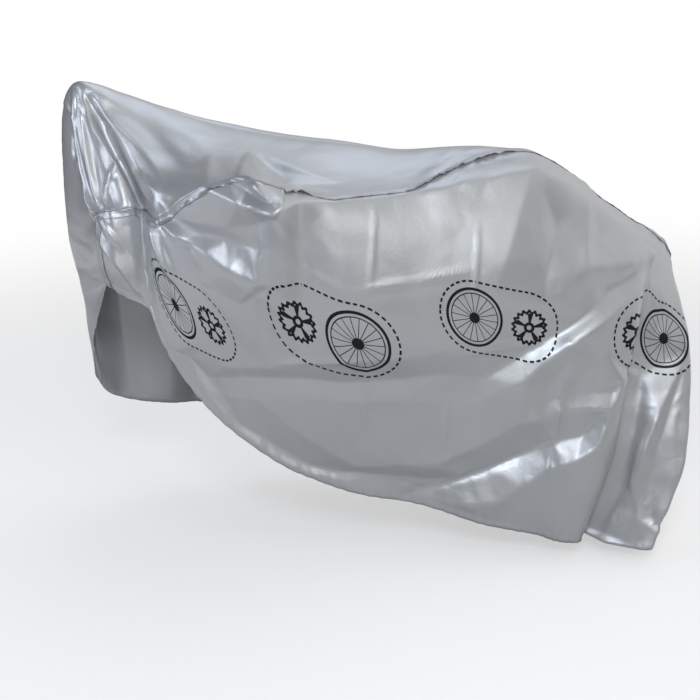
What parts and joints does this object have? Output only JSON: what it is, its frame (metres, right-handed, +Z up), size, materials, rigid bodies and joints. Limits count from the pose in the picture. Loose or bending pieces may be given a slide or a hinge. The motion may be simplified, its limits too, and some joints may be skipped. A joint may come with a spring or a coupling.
{
  "type": "bicycle cover",
  "caption": "Hollow draped cover of thin silver film, open along its hem, with weld seams along the top and the ends, each folded down as a narrow flap.",
  "frame": {"origin": "the point under the top where what the cover hangs on holds it up", "axes": "+X from the front end to the rear end, +Y away from the near, printed side, +Z up"},
  "size_m": [1.5278, 0.6468, 1.1206],
  "materials": {
    "silver_film": "satin silver-pigmented film",
    "welded_film": "flattened weld of the same film"
  },
  "bodies": {
    "root": {"near_panel": "silver_film", "far_panel": "silver_film", "top_seam_flap": "welded_film", "front_seam_flap": "welded_film", "rear_seam_flap": "welded_film"}
  },
  "joints": []
}
